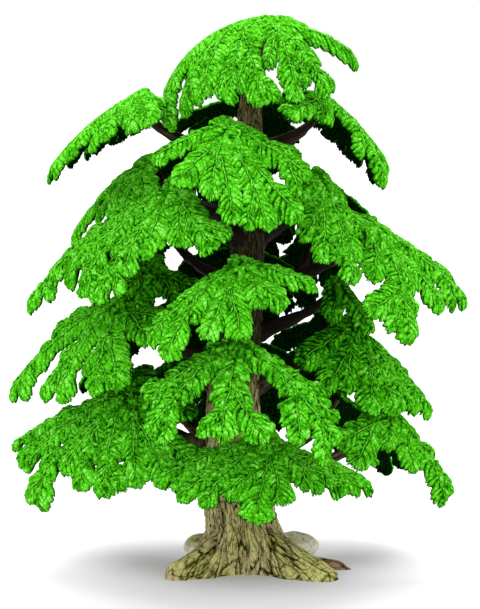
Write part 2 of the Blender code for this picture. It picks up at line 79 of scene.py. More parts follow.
# Relief of the bark: size of its lumps across and along the grain, and its height
FOLD_SIZE, FOLD_LENGTH, FOLD_HEIGHT = 4.6, 34, 0.8
FURROW_SIZE, FURROW_LENGTH, FURROW_DEPTH = 3.2, 20, 1.0
CRACK_SIZE, CRACK_LENGTH, CRACK_DEPTH = 2.0, 8, 0.4
PLATE_SIZE, PLATE_LENGTH, PLATE_HEIGHT = 1.0, 5, 0.16
GRIT_SIZE, GRIT_HEIGHT = 0.6, 0.08
# Furrows and cracks run where their lumps come this near to nought
FURROW_WIDTH, CRACK_WIDTH = 0.15, 0.14
# Furrows fade in places: the size and length of one, how much they change, and their usual depth
FADE_SIZE, FADE_LENGTH, FADE, USUAL_DEPTH = 7, 12, 0.6, 0.75
# Up to about this height the folds and the furrows die down to these shares
CALM_HEIGHT, CALM_FOLDS, CALM_FURROWS = 90, 0.25, 0.45
# Relief starts at half its height at the flat underside, and is whole from here
WHOLE_FROM = 1.5
# A short level seam shows on the front of the trunk
SEAM_HEIGHT, SEAM_HALF, SEAM_MIDDLE, SEAM_REACH = 26.6, 0.3, 9, 5
SEAM_WAVER, SEAM_DEPTH = 0.3, 0.8

# Paint goes from 0, the dark wash, to 1, a brushed crest: the bark's own, and what its relief changes
BARK_PAINT = 0.84
FURROW_DARK, CRACK_DARK = 0.55, 0.3
PLATE_PALE, FOLD_PALE, GRIT_PALE = 0.1, 0.1, 0.3
# Painted shade of the tiers above darkens the bark by this much from one height, over a stretch, and
# lessens again towards another, to its least
SHADE, SHADE_FROM, SHADE_STRETCH = 0.9, 70, 35
SHADE_ENDS_AT, SHADE_FADE, SHADE_LEAST = 205, 25, 0.45
# Moss: size of its patches and spots, how sharply they end, and how much lies everywhere. More lies on
# a root, where it stands out this far and faces up.
MOSS_PATCH, MOSS_SPOT, MOSS_SHARP, MOSS_EVERYWHERE = 9, 3, 1.6, 0.1
MOSS_ON_ROOT, ROOT_STANDS_OUT, ROOT_FACES_UP = 0.75, 6, 0.3

# Thin painted cracks run over the bark in three nets: the size of a net's meshes, how wide its cracks are
# and how dark. Between them the paint is a little paler.
Net = namedtuple("Net", "mesh width darkness")
NETS = (Net(3.2, 0.07, 0.6), Net(1.5, 0.08, 0.45), Net(0.8, 0.12, 0.3))
NET_PALE = 0.05
# The nets are rolled round the trunk at this radius, drawn out this many times along the grain, and bent
# aside by this much in waves of this size
NET_RADIUS, NET_DRAWN, NET_BEND, NET_WAVE = 17, 5.5, 2.4, 3.2
# Pale threads of grain lie between the cracks: their size and how much paint they change
THREAD_SIZE, THREAD_SHARE = 0.7, 1.0

# Random values on a lattice that repeats, and how many places along the grain are taken together
LATTICE = 32
GRAIN_STEPS = 9
lattice = np.random.default_rng(11).random((LATTICE, LATTICE, LATTICE))


def lumps(points, size, shift=0.0):
    """Smooth random values from 0 to 1, in lumps of one size. The shift sets a pattern off from others."""
    place = points / size + shift
    cell = np.floor(place).astype(int)
    share = place - cell
    share = share * share * (3 - 2 * share)
    total = 0
    for corner in np.ndindex(2, 2, 2):
        near = np.where(corner, share, 1 - share)
        x, y, z = np.moveaxis((cell + corner) % LATTICE, -1, 0)
        total = total + near[..., 0] * near[..., 1] * near[..., 2] * lattice[x, y, z]
    return total


def grained(points, flow, size, length, shift=0.0):
    """Lumps drawn out along the flow of the grain, centred on 0 with a spread of 1."""
    steps = np.linspace(-0.5, 0.5, GRAIN_STEPS) * length
    total = sum(lumps(points + flow * step, size, shift) for step in steps)
    return (total - total.mean()) / total.std()


def unit(vectors):
    return vectors / np.maximum(np.linalg.norm(vectors, axis=-1, keepdims=True), 1e-9)


def rolled_up(grid):
    """Adds the first point of each ring again as its last."""
    return np.concatenate([grid, grid[:, :1]], axis=1)


def lay_on(mesh, **layers):
    """Gives a mesh the layers that its paint reads: a number or a place at each of its points."""
    for name, values in layers.items():
        kind, content = ("FLOAT_VECTOR", "vector") if values.ndim == 3 else ("FLOAT", "value")
        mesh.attributes.new(name, kind, "POINT").data.foreach_set(content, values.ravel())


def skin(name, points, sheet=(0.0, 0.0, 1.0, 1.0), **painted):
    """Rolls a grid into a closed skin through rings of points, with what is painted at each.

    A ring that has shrunk to a point or a line closes an end. The sheet is the skin's part of the map.
    """
    points = rolled_up(points)
    rings, around = points.shape[:2]
    bpy.ops.object.select_all(action="DESELECT")
    bpy.ops.mesh.primitive_grid_add(x_subdivisions=around - 1, y_subdivisions=rings - 1, size=1)
    piece = bpy.context.object
    piece.name = piece.data.name = name
    mesh = piece.data
    mesh.vertices.foreach_set("co", (points * MM).ravel())
    flat = mesh.uv_layers.active
    flat.name = "OFBake"
    places = np.empty(2 * len(mesh.loops))
    flat.uv.foreach_get("vector", places)
    places = places.reshape(-1, 2) * sheet[2:] + sheet[:2]
    flat.uv.foreach_set("vector", places.ravel())
    lay_on(mesh, **{label: rolled_up(values) for label, values in painted.items()})
    bpy.ops.object.mode_set(mode="EDIT")
    bpy.ops.mesh.select_all(action="SELECT")
    bpy.ops.mesh.remove_doubles(threshold=0.001 * MM)
    bpy.ops.mesh.normals_make_consistent(inside=False)
    bpy.ops.object.mode_set(mode="OBJECT")
    return piece


def capped(grid):
    """Adds a ring at each end that has shrunk to the end ring's middle."""
    low = np.broadcast_to(grid[:1].mean(axis=1, keepdims=True), grid[:1].shape)
    high = np.broadcast_to(grid[-1:].mean(axis=1, keepdims=True), grid[-1:].shape)
    return np.concatenate([low, grid, high])


def outward_of(points):
    """The way out of a rolled grid at each of its points, and the way along it."""
    along = np.gradient(points, axis=0)
    wrapped = np.concatenate([points[:, -1:], points, points[:, :1]], axis=1)
    around = (wrapped[:, 2:] - wrapped[:, :-2]) / 2
    return unit(np.cross(around, along)), unit(along)


def trunk_at(height):
    """The trunk's sideways place and its radius at a height."""
    heights, middles, radii = zip(*TRUNK_STATIONS)
    return np.interp(height, heights, middles), np.interp(height, heights, radii)


def half_round(degrees):
    """The same turn, from -180 to 180."""
    return (degrees + 180) % 360 - 180


def root_reach(root, turn, height, radius):
    """How far a root stands out of the trunk on this side, at this height."""
    share = np.minimum(height / root.height, 1)
    side = half_round(np.degrees(turn) - root.heading) / root.spread
    across = np.exp(-(side**2) * (ROOT_FALL + ROOT_FALL_GROWTH * share))
    return (root.reach - radius) * across * (1 - share**2) ** 2 * (1 - ROOT_HOLLOW * share)


def in_the_shade(height):
    """Painted shade: the bark is painted darker among the middle tiers that shade it, and less so again
    under the crown.
    """
    shaded = np.clip((height - SHADE_FROM) / SHADE_STRETCH, 0, 1)
    return 1 - SHADE * shaded * np.clip((SHADE_ENDS_AT - height) / SHADE_FADE, SHADE_LEAST, 1)


share_up = np.linspace(0, 1, TRUNK_RINGS)
first_part = FOOT_STEP * TRUNK_RINGS
heights = first_part * share_up + (TRUNK_TOP - first_part) * share_up**RING_SPREAD
turns = np.arange(TRUNK_SIDES) * math.tau / TRUNK_SIDES
turn, height = np.meshgrid(turns, heights)
middle, radius = trunk_at(height)
flute = 1 + FLUTE_DEPTH * np.cos(FLUTES * turn + FLUTE_TWIST * height)
reach = radius * flute + np.maximum.reduce([root_reach(root, turn, height, radius) for root in ROOTS])
smooth = np.stack([middle + reach * np.cos(turn), reach * np.sin(turn), height], axis=-1)
outward, flow = outward_of(smooth)

folds = grained(smooth, flow, FOLD_SIZE, FOLD_LENGTH)
furrowing = grained(smooth, flow, FURROW_SIZE, FURROW_LENGTH, 5.3)
deep = np.clip(grained(smooth, flow, FADE_SIZE, FADE_LENGTH, 9.1) * FADE + USUAL_DEPTH, 0, 1)
furrows = np.exp(-((furrowing / FURROW_WIDTH) ** 2)) * deep
cracking = grained(smooth, flow, CRACK_SIZE, CRACK_LENGTH, 6.6)
cracks = np.exp(-((cracking / CRACK_WIDTH) ** 2))
plates = grained(smooth, flow, PLATE_SIZE, PLATE_LENGTH, 2.7)
grit = lumps(smooth, GRIT_SIZE, 1.9) - 0.5
off_seam = (height - SEAM_HEIGHT - SEAM_WAVER * np.sin(smooth[..., 0])) / SEAM_HALF
seam = np.exp(-(off_seam**2)) * (np.abs(smooth[..., 0] - SEAM_MIDDLE) < SEAM_REACH) * (smooth[..., 1] < 0)
furrows = np.maximum(furrows, seam * SEAM_DEPTH)
low_down = np.clip(1 - height / CALM_HEIGHT, CALM_FOLDS, 1)
furrowed = furrows * FURROW_DEPTH * (CALM_FURROWS + (1 - CALM_FURROWS) * low_down)
relief = folds * FOLD_HEIGHT * low_down - furrowed
relief += plates * PLATE_HEIGHT + grit * GRIT_HEIGHT - cracks * CRACK_DEPTH
off_foot = np.clip(height / WHOLE_FROM, 0, 1)
rough = smooth + outward * relief[..., None] * (0.5 + 0.5 * off_foot[..., None])
rough[..., 2] = np.maximum(smooth[..., 2] + (rough[..., 2] - smooth[..., 2]) * off_foot, 0)

run = np.cumsum(np.linalg.norm(np.diff(smooth, axis=0, prepend=smooth[:1]), axis=-1), axis=0)
grain_place = [NET_RADIUS * np.cos(turn), NET_RADIUS * np.sin(turn), run / NET_DRAWN]
grain_place = np.stack(grain_place, axis=-1) * MM
paint_tone = BARK_PAINT - FURROW_DARK * furrows - CRACK_DARK * cracks
paint_tone = paint_tone + PLATE_PALE * plates + FOLD_PALE * folds + GRIT_PALE * grit
# Painted shade: the tiers above darken the bark's paint by its height
paint_tone = np.clip(paint_tone * in_the_shade(height), 0, 1)
# Patches and half as much of spots, centred on nought
patches = lumps(smooth, MOSS_PATCH, 4.4) + 0.5 * lumps(smooth, MOSS_SPOT, 6.2) - 0.75
on_root = np.clip((reach - radius) / ROOT_STANDS_OUT, 0, 1)
on_root = MOSS_ON_ROOT * on_root * np.clip(outward[..., 2] + ROOT_FACES_UP, 0, 1)
cover = np.clip(patches * MOSS_SHARP + on_root + MOSS_EVERYWHERE, 0, 1)
cut_end = np.zeros_like(reach)
for root, share, darker in CUT_ROOTS:
    within = np.abs(half_round(np.degrees(turn) - root.heading)) < root.spread
    sawn = np.clip((reach - share * root.reach) / CUT_EDGE, 0, 1) * within
    cut_end = np.maximum(cut_end, sawn)
    paint_tone = paint_tone * (1 - darker * sawn)
# Below nought, what covers the bark stands for bare wood
cover = cover - CUT_BARE * cut_end

painted = {"paint": capped(paint_tone), "cover": capped(cover), "grain_place": capped(grain_place)}
trunk = skin("trunk_bark", capped(rough), **painted)
bpy.ops.object.shade_smooth_by_angle(angle=math.radians(60))


def linked(tree, kind, operation=None, **inputs):
    """Adds a node. An input takes a value or another node's output, and _1 is the input of number 1."""
    node = tree.nodes.new(kind)
    if operation:
        node.operation = operation
    for name, value in inputs.items():
        socket = node.inputs[int(name[1:]) if name[0] == "_" else name.replace("_", " ")]
        if isinstance(value, bpy.types.NodeSocket):
            tree.links.new(value, socket)
        else:
            socket.default_value = value
    return node


def added(tree, first, second):
    return linked(tree, "ShaderNodeMath", _0=first, _1=second).outputs[0]


def ranged(tree, value, **levels):
    """A value that goes from 0 to 1, led over to other levels."""
    return linked(tree, "ShaderNodeMapRange", Value=value, **levels).outputs[0]


def noise(tree, place, size, detail):
    return linked(tree, "ShaderNodeTexNoise", Vector=place, Scale=1 / (size * MM), Detail=detail)


def layer(tree, name):
    """The node that reads one of a mesh's layers."""
    node = tree.nodes.new("ShaderNodeAttribute")
    node.attribute_name = name
    return node


def paint_ramp(tree, tone, stops):
    """Paint from the wash in the grooves to the dry-brushed crests: tones and their colours."""
    node = linked(tree, "ShaderNodeValToRGB", Fac=tone)
    ramp = node.color_ramp
    while len(ramp.elements) < len(stops):
        ramp.elements.new(1)
    for element, (place, colour) in zip(ramp.elements, stops):
        element.position = place
        element.color = (*colour, 1)
    return node.outputs["Color"]


def covered(tree, share, below, above):
    """One colour over another, as far as its share says."""
    node = linked(tree, "ShaderNodeMixRGB", Fac=share, Color1=below, Color2=above)
    node.use_clamp = True
    return node.outputs[0]


def speckled(tree, size, share):
    """The painted tone with a fine speckle over it, and the place on the piece."""
    place = tree.nodes.new("ShaderNodeTexCoord").outputs["Object"]
    offset = added(tree, noise(tree, place, size, detail=3.0).outputs["Fac"], -0.5)
    scaled = linked(tree, "ShaderNodeMath", "MULTIPLY", _0=offset, _1=share)
    return added(tree, layer(tree, "paint").outputs["Fac"], scaled.outputs[0]), place


def bent_aside(tree, place, size, bend, detail):
    """Places bent aside by smooth noise: the size of its waves and how far they reach."""
    waves = noise(tree, place, size, detail).outputs["Color"]
    aside = linked(tree, "ShaderNodeVectorMath", "MULTIPLY", _0=waves, _1=(bend * MM,) * 3)
    return linked(tree, "ShaderNodeVectorMath", _0=place, _1=aside.outputs[0]).outputs[0]


def cracked(tree, place, net, pale):
    """What a net of thin cracks takes from the paint along them and adds between them."""
    meshes = linked(tree, "ShaderNodeTexVoronoi", Vector=place, Scale=1 / (net.mesh * MM))
    meshes.feature = "DISTANCE_TO_EDGE"
    off_edge = meshes.outputs["Distance"]
    return ranged(tree, off_edge, From_Max=net.width, To_Min=-net.darkness, To_Max=pale)


def roughened(tree, place, size, height):
    """The slight grain of cast vinyl."""
    grain = noise(tree, place, size, detail=2.0).outputs["Fac"]
    return linked(tree, "ShaderNodeBump", Height=grain, Distance=height * MM).outputs["Normal"]


def new_finish(name, roughness, specular=0.5):
    material = bpy.data.materials.new(name)
    material.use_nodes = True
    tree = material.node_tree
    shader = tree.nodes["Principled BSDF"]
    shader.inputs["Roughness"].default_value = roughness
    shader.inputs["Specular IOR Level"].default_value = specular
    return material, tree, shader


bark, tree, shader = new_finish("painted_bark", roughness=0.62, specular=0.08)
tone, place = speckled(tree, size=0.8, share=0.3)
on_grain = layer(tree, "grain_place").outputs["Vector"]
wavy = bent_aside(tree, on_grain, NET_WAVE, NET_BEND, detail=2.0)
threads = noise(tree, wavy, THREAD_SIZE, detail=2.0).outputs["Fac"]
threads = ranged(tree, threads, To_Min=-THREAD_SHARE / 2, To_Max=THREAD_SHARE / 2)
tone = added(tree, tone, threads)
for net in NETS:
    tone = added(tree, tone, cracked(tree, wavy, net, NET_PALE))
bare_bark = (
    (0.0, (0.010, 0.007, 0.003)),
    (0.28, (0.080, 0.062, 0.022)),
    (0.55, (0.260, 0.225, 0.085)),
    (0.8, (0.450, 0.400, 0.170)),
    (1.0, (0.660, 0.600, 0.300)),
)
mossy_bark = (
    (0.0, (0.018, 0.018, 0.003)),
    (0.3, (0.100, 0.098, 0.014)),
    (0.6, (0.255, 0.265, 0.052)),
    (1.0, (0.640, 0.620, 0.230)),
)
cut_wood = (
    (0.0, (0.060, 0.034, 0.018)),
    (0.4, (0.270, 0.180, 0.095)),
    (1.0, (0.560, 0.430, 0.250)),
)
covering = layer(tree, "cover").outputs["Fac"]
bare = linked(tree, "ShaderNodeMath", "MULTIPLY", _0=covering, _1=-1.0)
bare.use_clamp = True
paints = (bare_bark, mossy_bark, cut_wood)
bare_paint, moss_paint, wood_paint = (paint_ramp(tree, tone, stops) for stops in paints)
mossed = covered(tree, covering, bare_paint, moss_paint)
ends = covered(tree, bare.outputs[0], mossed, wood_paint)
tree.links.new(ends, shader.inputs["Base Color"])
tree.links.new(roughened(tree, place, size=0.5, height=0.12), shader.inputs["Normal"])
trunk.data.materials.append(bark)
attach(trunk, "root")
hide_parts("trunk")


# Stones
# Two low boulders, cast in one with the trunk where its back roots leave it, and flat underneath.
# They are smoother than the bark, painted beige with moss green on top and a thin brown wash.

Stone = namedtuple("Stone", "name middle half turn moss")
STONES = (
    Stone("stone_left", (-19, 15.5, 5), (7.8, 9, 5.8), -35, 0.2),
    Stone("stone_right", (23.5, 17, 5.2), (12, 10, 6.2), 25, -0.2),
)
STONE_LUMP_SIZE, STONE_LUMP_HEIGHT = 5, 0.9
STONE_PIT_SIZE, STONE_PIT_HEIGHT = 1.3, 0.3
# A stone's own paint, what its pits and lumps change, and how much darker it is towards its foot, up to
# this height
STONE_PAINT, PIT_SHARE, LUMP_SHARE = 0.75, 0.9, 0.3
FOOT_DARKER, FOOT_DARKER_HEIGHT = 0.35, 3
# Moss starts where a stone faces up by this much, and thickens this fast
STONE_MOSS_FROM, STONE_MOSS_SHARP = 0.35, 1.5

rock, tree, shader = new_finish("painted_stone", roughness=0.65)
tone, place = speckled(tree, size=0.7, share=0.35)
dry_stone = (
    (0.0, (0.110, 0.085, 0.040)),
    (0.35, (0.620, 0.590, 0.400)),
    (0.65, (0.920, 0.900, 0.680)),
    (1.0, (0.980, 0.970, 0.840)),
)
covering = layer(tree, "cover").outputs["Fac"]
dry_paint, moss_paint = (paint_ramp(tree, tone, stops) for stops in (dry_stone, mossy_bark))
tree.links.new(covered(tree, covering, dry_paint, moss_paint), shader.inputs["Base Color"])
tree.links.new(roughened(tree, place, size=0.5, height=0.1), shader.inputs["Normal"])

for stone in STONES:
    bpy.ops.object.select_all(action="DESELECT")
    bpy.ops.mesh.primitive_ico_sphere_add(subdivisions=6, radius=1)
    boulder = bpy.context.object
    boulder.name = boulder.data.name = stone.name + "_rock"
    ball = np.empty(3 * len(boulder.data.vertices))
    boulder.data.vertices.foreach_get("co", ball)
    ball = ball.reshape(-1, 3)
    turn = math.radians(stone.turn)
    cosine, sine = math.cos(turn), math.sin(turn)
    spin = np.array(((cosine, -sine, 0), (sine, cosine, 0), (0, 0, 1)))
    smooth = (ball * stone.half) @ spin.T + stone.middle
    outward = unit((ball / stone.half) @ spin.T)
    swell = lumps(smooth, STONE_LUMP_SIZE, 3.3) - 0.5
    pits = lumps(smooth, STONE_PIT_SIZE, 8.8) - 0.5
    rough = smooth + outward * (swell * STONE_LUMP_HEIGHT + pits * STONE_PIT_HEIGHT)[:, None]
    boulder.data.vertices.foreach_set("co", (rough * MM).ravel())
    paint_tone = STONE_PAINT + PIT_SHARE * pits + LUMP_SHARE * swell
    paint_tone = paint_tone - FOOT_DARKER * np.clip(1 - rough[:, 2] / FOOT_DARKER_HEIGHT, 0, 1)
    moss = (outward[:, 2] - STONE_MOSS_FROM) * STONE_MOSS_SHARP + swell + stone.moss
    lay_on(boulder.data, paint=np.clip(paint_tone, 0, 1), cover=np.clip(moss, 0, 1))
    bpy.ops.object.mode_set(mode="EDIT")
    bpy.ops.mesh.select_all(action="SELECT")
    bpy.ops.mesh.bisect(
        plane_co=(0, 0, 0), plane_no=(0, 0, 1), use_fill=True, clear_inner=True, threshold=1e-6
    )
    bpy.ops.object.mode_set(mode="OBJECT")
    bpy.ops.object.shade_smooth_by_angle(angle=math.radians(50))
    boulder.data.materials.append(rock)
    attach(boulder, "root")
    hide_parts(stone.name)


# Boughs
# Tapering limbs of the same hard vinyl as the trunk, each plugged into the trunk at its thick end and
# into the underside of its pad at the other. They carry a finer grain than the trunk and are painted
# brown with a pale dry-brushing, darker than the trunk, partly as painted shade of the tiers over them.

# Each pad's hub, the way it faces and the angle that it hangs at, the radius of its dome, and the
# heading, length and half-width of each lobe. A fork is a side lobe: the lobe that it leaves, how far
# out, the angle it turns and its length.
Pad = namedtuple("Pad", "name hub aim pitch dome lobes forks", defaults=((),))
PADS = (
    Pad("crown", (8, 0, 245), -140, 8, 52, (
        (-178, 62, 6), (-163, 71, 8), (-143, 66), (-128, 57), (-112, 61), (-95, 63, 9),
        (-76, 63, 8), (-60, 63, 8), (0, 18), (40, 28), (70, 48), (97, 55), (122, 54), (146, 52),
        (167, 50),
    ), ((7, 20, 62, 39),)),
    Pad("upper_front", (-8, -36, 198.5), -90, 38, 90, (
        (-156, 35, 5), (-124, 37), (-99, 39), (-85, 50), (-68, 55), (-53, 57, 8), (-31, 44, 8),
    )),
    Pad("top_left", (-47.5, 0, 211.5), -175, 27, 105, (
        (-177, 56), (-150, 46), (-118, 43), (-99, 41), (-87, 49), (149, 54), (127, 54), (113, 55),
        (102, 55),
    )),
    Pad("top_right", (38.5, 0, 209), -5, 37, 105, (
        (0, 42), (-39, 53), (44, 60), (-88, 34, 6), (-105, 52, 6), (60, 56), (74, 53), (89, 54),
        (105, 58),
    )),
    Pad("middle_left", (-30.5, -28, 171.5), -125, 42, 150, (
        (-177, 90, 6), (-178, 74), (-165, 64), (-153, 62), (-140, 61), (-131, 46), (-120, 37),
        (-93, 34), (-75, 44),
    )),
    Pad("upper_right", (33, -15, 175), -75, 44, 130, (
        (-128, 35, 5), (-97, 34, 6), (-81, 43), (-63, 44), (-67, 53, 6), (-42, 38, 5),
    )),
    Pad("upper_left", (-42.5, 10, 181), -155, 38, 120, (
        (161, 60), (-171, 36), (-156, 30), (-126, 34), (-100, 30), (145, 46), (125, 40), (102, 36),
    )),
    Pad("middle_right", (57, -8, 155), -45, 44, 190, (
        (-3, 59), (-24, 50), (-44, 38), (-59, 62, 8), (-78, 34), (4, 50),
    ), ((3, 38, -60, 22),)),
    Pad("middle_front", (0, -45, 140), -90, 34, 80, (
        (-143, 55, 6), (-130, 56), (-113, 41, 6), (-93, 39, 8), (-73, 25), (-51, 29), (-11, 34, 6),
    )),
    Pad("lower_left", (-54, -4, 120.5), -130, 44, 150, (
        (-177, 73, 7), (-155, 57, 6), (-142, 54), (-120, 48), (-103, 48), (-75, 32), (-50, 34),
        (165, 42),
    )),
    Pad("lower_front", (-2, -48, 105.5), -90, 42, 110, (
        (-151, 49), (-136, 55), (-99, 46, 8), (-44, 61), (-33, 48, 6),
    ), ((2, 22, 42, 28), (3, 34, -42, 22),)),
    Pad("lower_right", (48.5, 0, 109), -55, 46, 150, (
        (-24, 55, 5), (-35, 46, 6), (-48, 46, 8), (-66, 44), (-84, 36), (-98, 38), (-122, 37),
    )),
    Pad("bottom_left", (-53, -5, 80.5), -120, 44, 150, (
        (176, 64, 4), (-175, 62, 5), (-167, 60, 5.5), (-152, 67, 8), (-139, 47), (-126, 51),
        (-111, 53), (-93, 51), (-78, 56), (-63, 56), (-38, 38), (45, 18),
    )),
    Pad("bottom_right", (65, -10, 70), -60, 48, 150, (
        (-32, 45, 5), (-55, 28, 6), (-84, 18), (-110, 34, 9), (-132, 32),
    )),
    Pad("bottom_front", (9, -40, 64), -90, 38, 110, (
        (-163, 50, 5.5), (-147, 46, 6), (-133, 41), (-96, 41, 10), (-76, 33), (-45, 35), (-35, 43),
        (-21, 53, 6),
    ), ((3, 16, -50, 20),)),
    Pad("inner_right", (42, -2, 128.5), -70, 50, 120, ((-91, 21, 5), (-44, 28, 5))),
    Pad("inner_left", (-40.5, 0, 137.5), -90, 50, 120, (
        (-125, 20, 6), (-100, 20, 6), (-61, 22, 6), (-30, 26, 6),
    )),
    Pad("top_back", (2, 38, 213), 90, 28, 60, (
        (20, 24), (48, 38), (75, 50), (104, 53), (133, 48), (163, 40),
    )),
    Pad("upper_back_left", (-30, 40, 187), 125, 34, 80, ((74, 44), (98, 53), (121, 57), (144, 55))),
    Pad("upper_back_right", (33, 38, 174), 58, 34, 80, ((108, 44), (85, 52), (62, 55), (40, 49), (19, 36))),
    Pad("middle_back", (-3, 50, 166), 92, 44, 70, ((44, 36), (68, 46), (92, 49), (116, 47), (140, 38))),
    Pad("middle_back_left", (-38, 38, 156), 140, 32, 85, (
        (90, 20), (113, 46), (136, 50), (159, 49), (180, 42),
    )),
    Pad("middle_back_right", (32, 38, 146), 62, 32, 75, ((106, 44), (83, 48), (60, 40), (34, 27), (4, 22))),
    Pad("lower_back", (-2, 44, 139), 92, 48, 70, (
        (24, 30), (48, 40), (70, 46), (92, 48), (115, 46), (138, 40), (160, 34), (174, 30),
    )),
    Pad("lower_back_left", (-40, 36, 108), 130, 34, 90, (
        (56, 42), (78, 47), (147, 50), (168, 50), (-171, 40), (-75, 34),
    )),
    Pad("lower_back_right", (40, 34, 110), 50, 34, 90, (
        (118, 44), (96, 50), (74, 54), (52, 55), (30, 54), (8, 44),
    )),
    Pad("bottom_back", (0, 44, 96), 90, 46, 85, (
        (22, 40), (46, 48), (69, 52), (91, 54), (113, 52), (136, 48), (160, 40),
    )),
    Pad("bottom_back_left", (-42, 36, 82), 145, 34, 90, (
        (96, 42), (120, 50), (143, 54), (166, 50), (-100, 28), (-60, 30),
    )),
    Pad("bottom_back_right", (44, 34, 73), 40, 32, 90, ((88, 42), (64, 50), (41, 54), (18, 50))),
)

BOUGH_ROOT_RADIUS = 3.2
BOUGH_TIP_RADIUS = 1.7
# How far below its tip a bough leaves the trunk, as a share of its reach, and never below this height
BOUGH_RISE = 0.5
LOWEST_BOUGH = 18
# Its line's handles, as shares of its reach: out and up where it leaves, and down where it arrives
LEAVING_OUT, LEAVING_UP, ARRIVING = 0.4, 0.1, 0.3
# The bough's solid ends under the pad's stem. Here it goes on up into the pad, in a few rings that widen,
# and starts this far inside the trunk.
STEM_DROP, INTO_PAD = 7.3, 1.4
PAD_RINGS, PAD_SWELL = 5, 1.3
INTO_TRUNK = 3
# Moves up the trunk, tried in turn until the bough, as a string of beads, is this clear of the others
BOUGH_SHIFTS = (0, -4, 4, -8, 8, -12, 12, -16, 16)
BOUGH_CLEARANCE, BOUGH_BEADS = 0.7, 32
BOUGH_SIDES, BOUGH_RINGS = 24, 64
COLLAR_SWELL, COLLAR_REACH = 2.0, 4
BOUGH_GRAIN_SIZE, BOUGH_GRAIN_LENGTH, BOUGH_GRAIN_HEIGHT = 1.0, 9, 0.22
KNOT_SIZE, KNOT_HEIGHT = 4.5, 0.9
# A bough's own paint, and what its grain and knots change
BOUGH_PAINT, GRAIN_SHARE, KNOT_SHARE = 0.5, 0.2, 0.3


def frame_of(pad):
    """The pad's hub and the three ways at it: out along the pad, to its side, and up off it."""
    aim = math.radians(pad.aim)
    pitch = math.radians(pad.pitch)
    level = np.array((math.cos(aim), math.sin(aim), 0))
    upright = np.array((0, 0, 1))
    out = level * math.cos(pitch) - upright * math.sin(pitch)
    side = np.array((-math.sin(aim), math.cos(aim), 0))
    up = level * math.sin(pitch) + upright * math.cos(pitch)
    return np.array(pad.hub, float), out, side, up


def bough_line(pad, shift):
    """Start, two handles and end of the bough under a pad, its start moved up the trunk by the shift."""
    hub, _, _, stem = frame_of(pad)
    end = hub - stem * STEM_DROP
    away = math.hypot(end[0], end[1])
    low = max(LOWEST_BOUGH, end[2] - BOUGH_RISE * away + shift)
    start = np.array((trunk_at(low)[0], 0, low))
    level = np.array((end[0] - start[0], end[1] - start[1], 0))
    leaving = start + level * LEAVING_OUT + np.array((0, 0, LEAVING_UP * away))
    arriving = end - stem * ARRIVING * away
    return start, leaving, arriving, end


def along_curve(line, count):
    return np.array(geometry.interpolate_bezier(*(Vector(point) for point in line), count))


def to_trunk(points):
    """How far points lie outside the trunk's skin."""
    middle, radius = trunk_at(points[:, 2])
    return np.hypot(points[:, 0] - middle, points[:, 1]) - radius * (1 + FLUTE_DEPTH)


def free_line(pad, placed):
    """The bough's line with the smallest shift that keeps it off the boughs already placed."""
    for shift in BOUGH_SHIFTS:
        line = bough_line(pad, shift)
        points = along_curve(line, BOUGH_BEADS)
        radii = np.linspace(BOUGH_ROOT_RADIUS, BOUGH_TIP_RADIUS, BOUGH_BEADS)
        outside = to_trunk(points) > 0
        beads = np.column_stack([points, radii])[outside]
        if not placed:
            break
        others = np.concatenate(placed)
        apart = np.linalg.norm(beads[:, None, :3] - others[None, :, :3], axis=-1)
        if (apart - beads[:, None, 3] - others[None, :, 3]).min() > BOUGH_CLEARANCE:
            break
    placed.append(beads)
    return line


def tube_around(centre, radii, sides):
    """Rings round a line, turned as little as can be from one to the next, and the line's own direction."""
    forward = unit(np.gradient(centre, axis=0))
    # Any way that no bough starts along will do
    across = unit(np.cross(forward[0], (0.3, 0.2, 1)))
    rings = []
    for here, way, radius in zip(centre, forward, radii):
        across = unit(across - way * across.dot(way))
        over = np.cross(way, across)
        turn = np.arange(sides)[:, None] * math.tau / sides
        rings.append(here + radius * (np.cos(turn) * across + np.sin(turn) * over))
    return np.array(rings), np.broadcast_to(forward[:, None], (len(centre), sides, 3))


limb, tree, shader = new_finish("painted_bough", roughness=0.62, specular=0.08)
tone, place = speckled(tree, size=0.8, share=0.3)
# Dark brown, darker than the trunk: brown paint and, in part, painted shade of the tiers over the boughs
shaded_bough_brown = (
    (0.0, (0.006, 0.004, 0.002)),
    (0.35, (0.022, 0.015, 0.006)),
    (0.65, (0.075, 0.055, 0.024)),
    (1.0, (0.240, 0.180, 0.090)),
)
tree.links.new(paint_ramp(tree, tone, shaded_bough_brown), shader.inputs["Base Color"])
tree.links.new(roughened(tree, place, size=0.5, height=0.12), shader.inputs["Normal"])

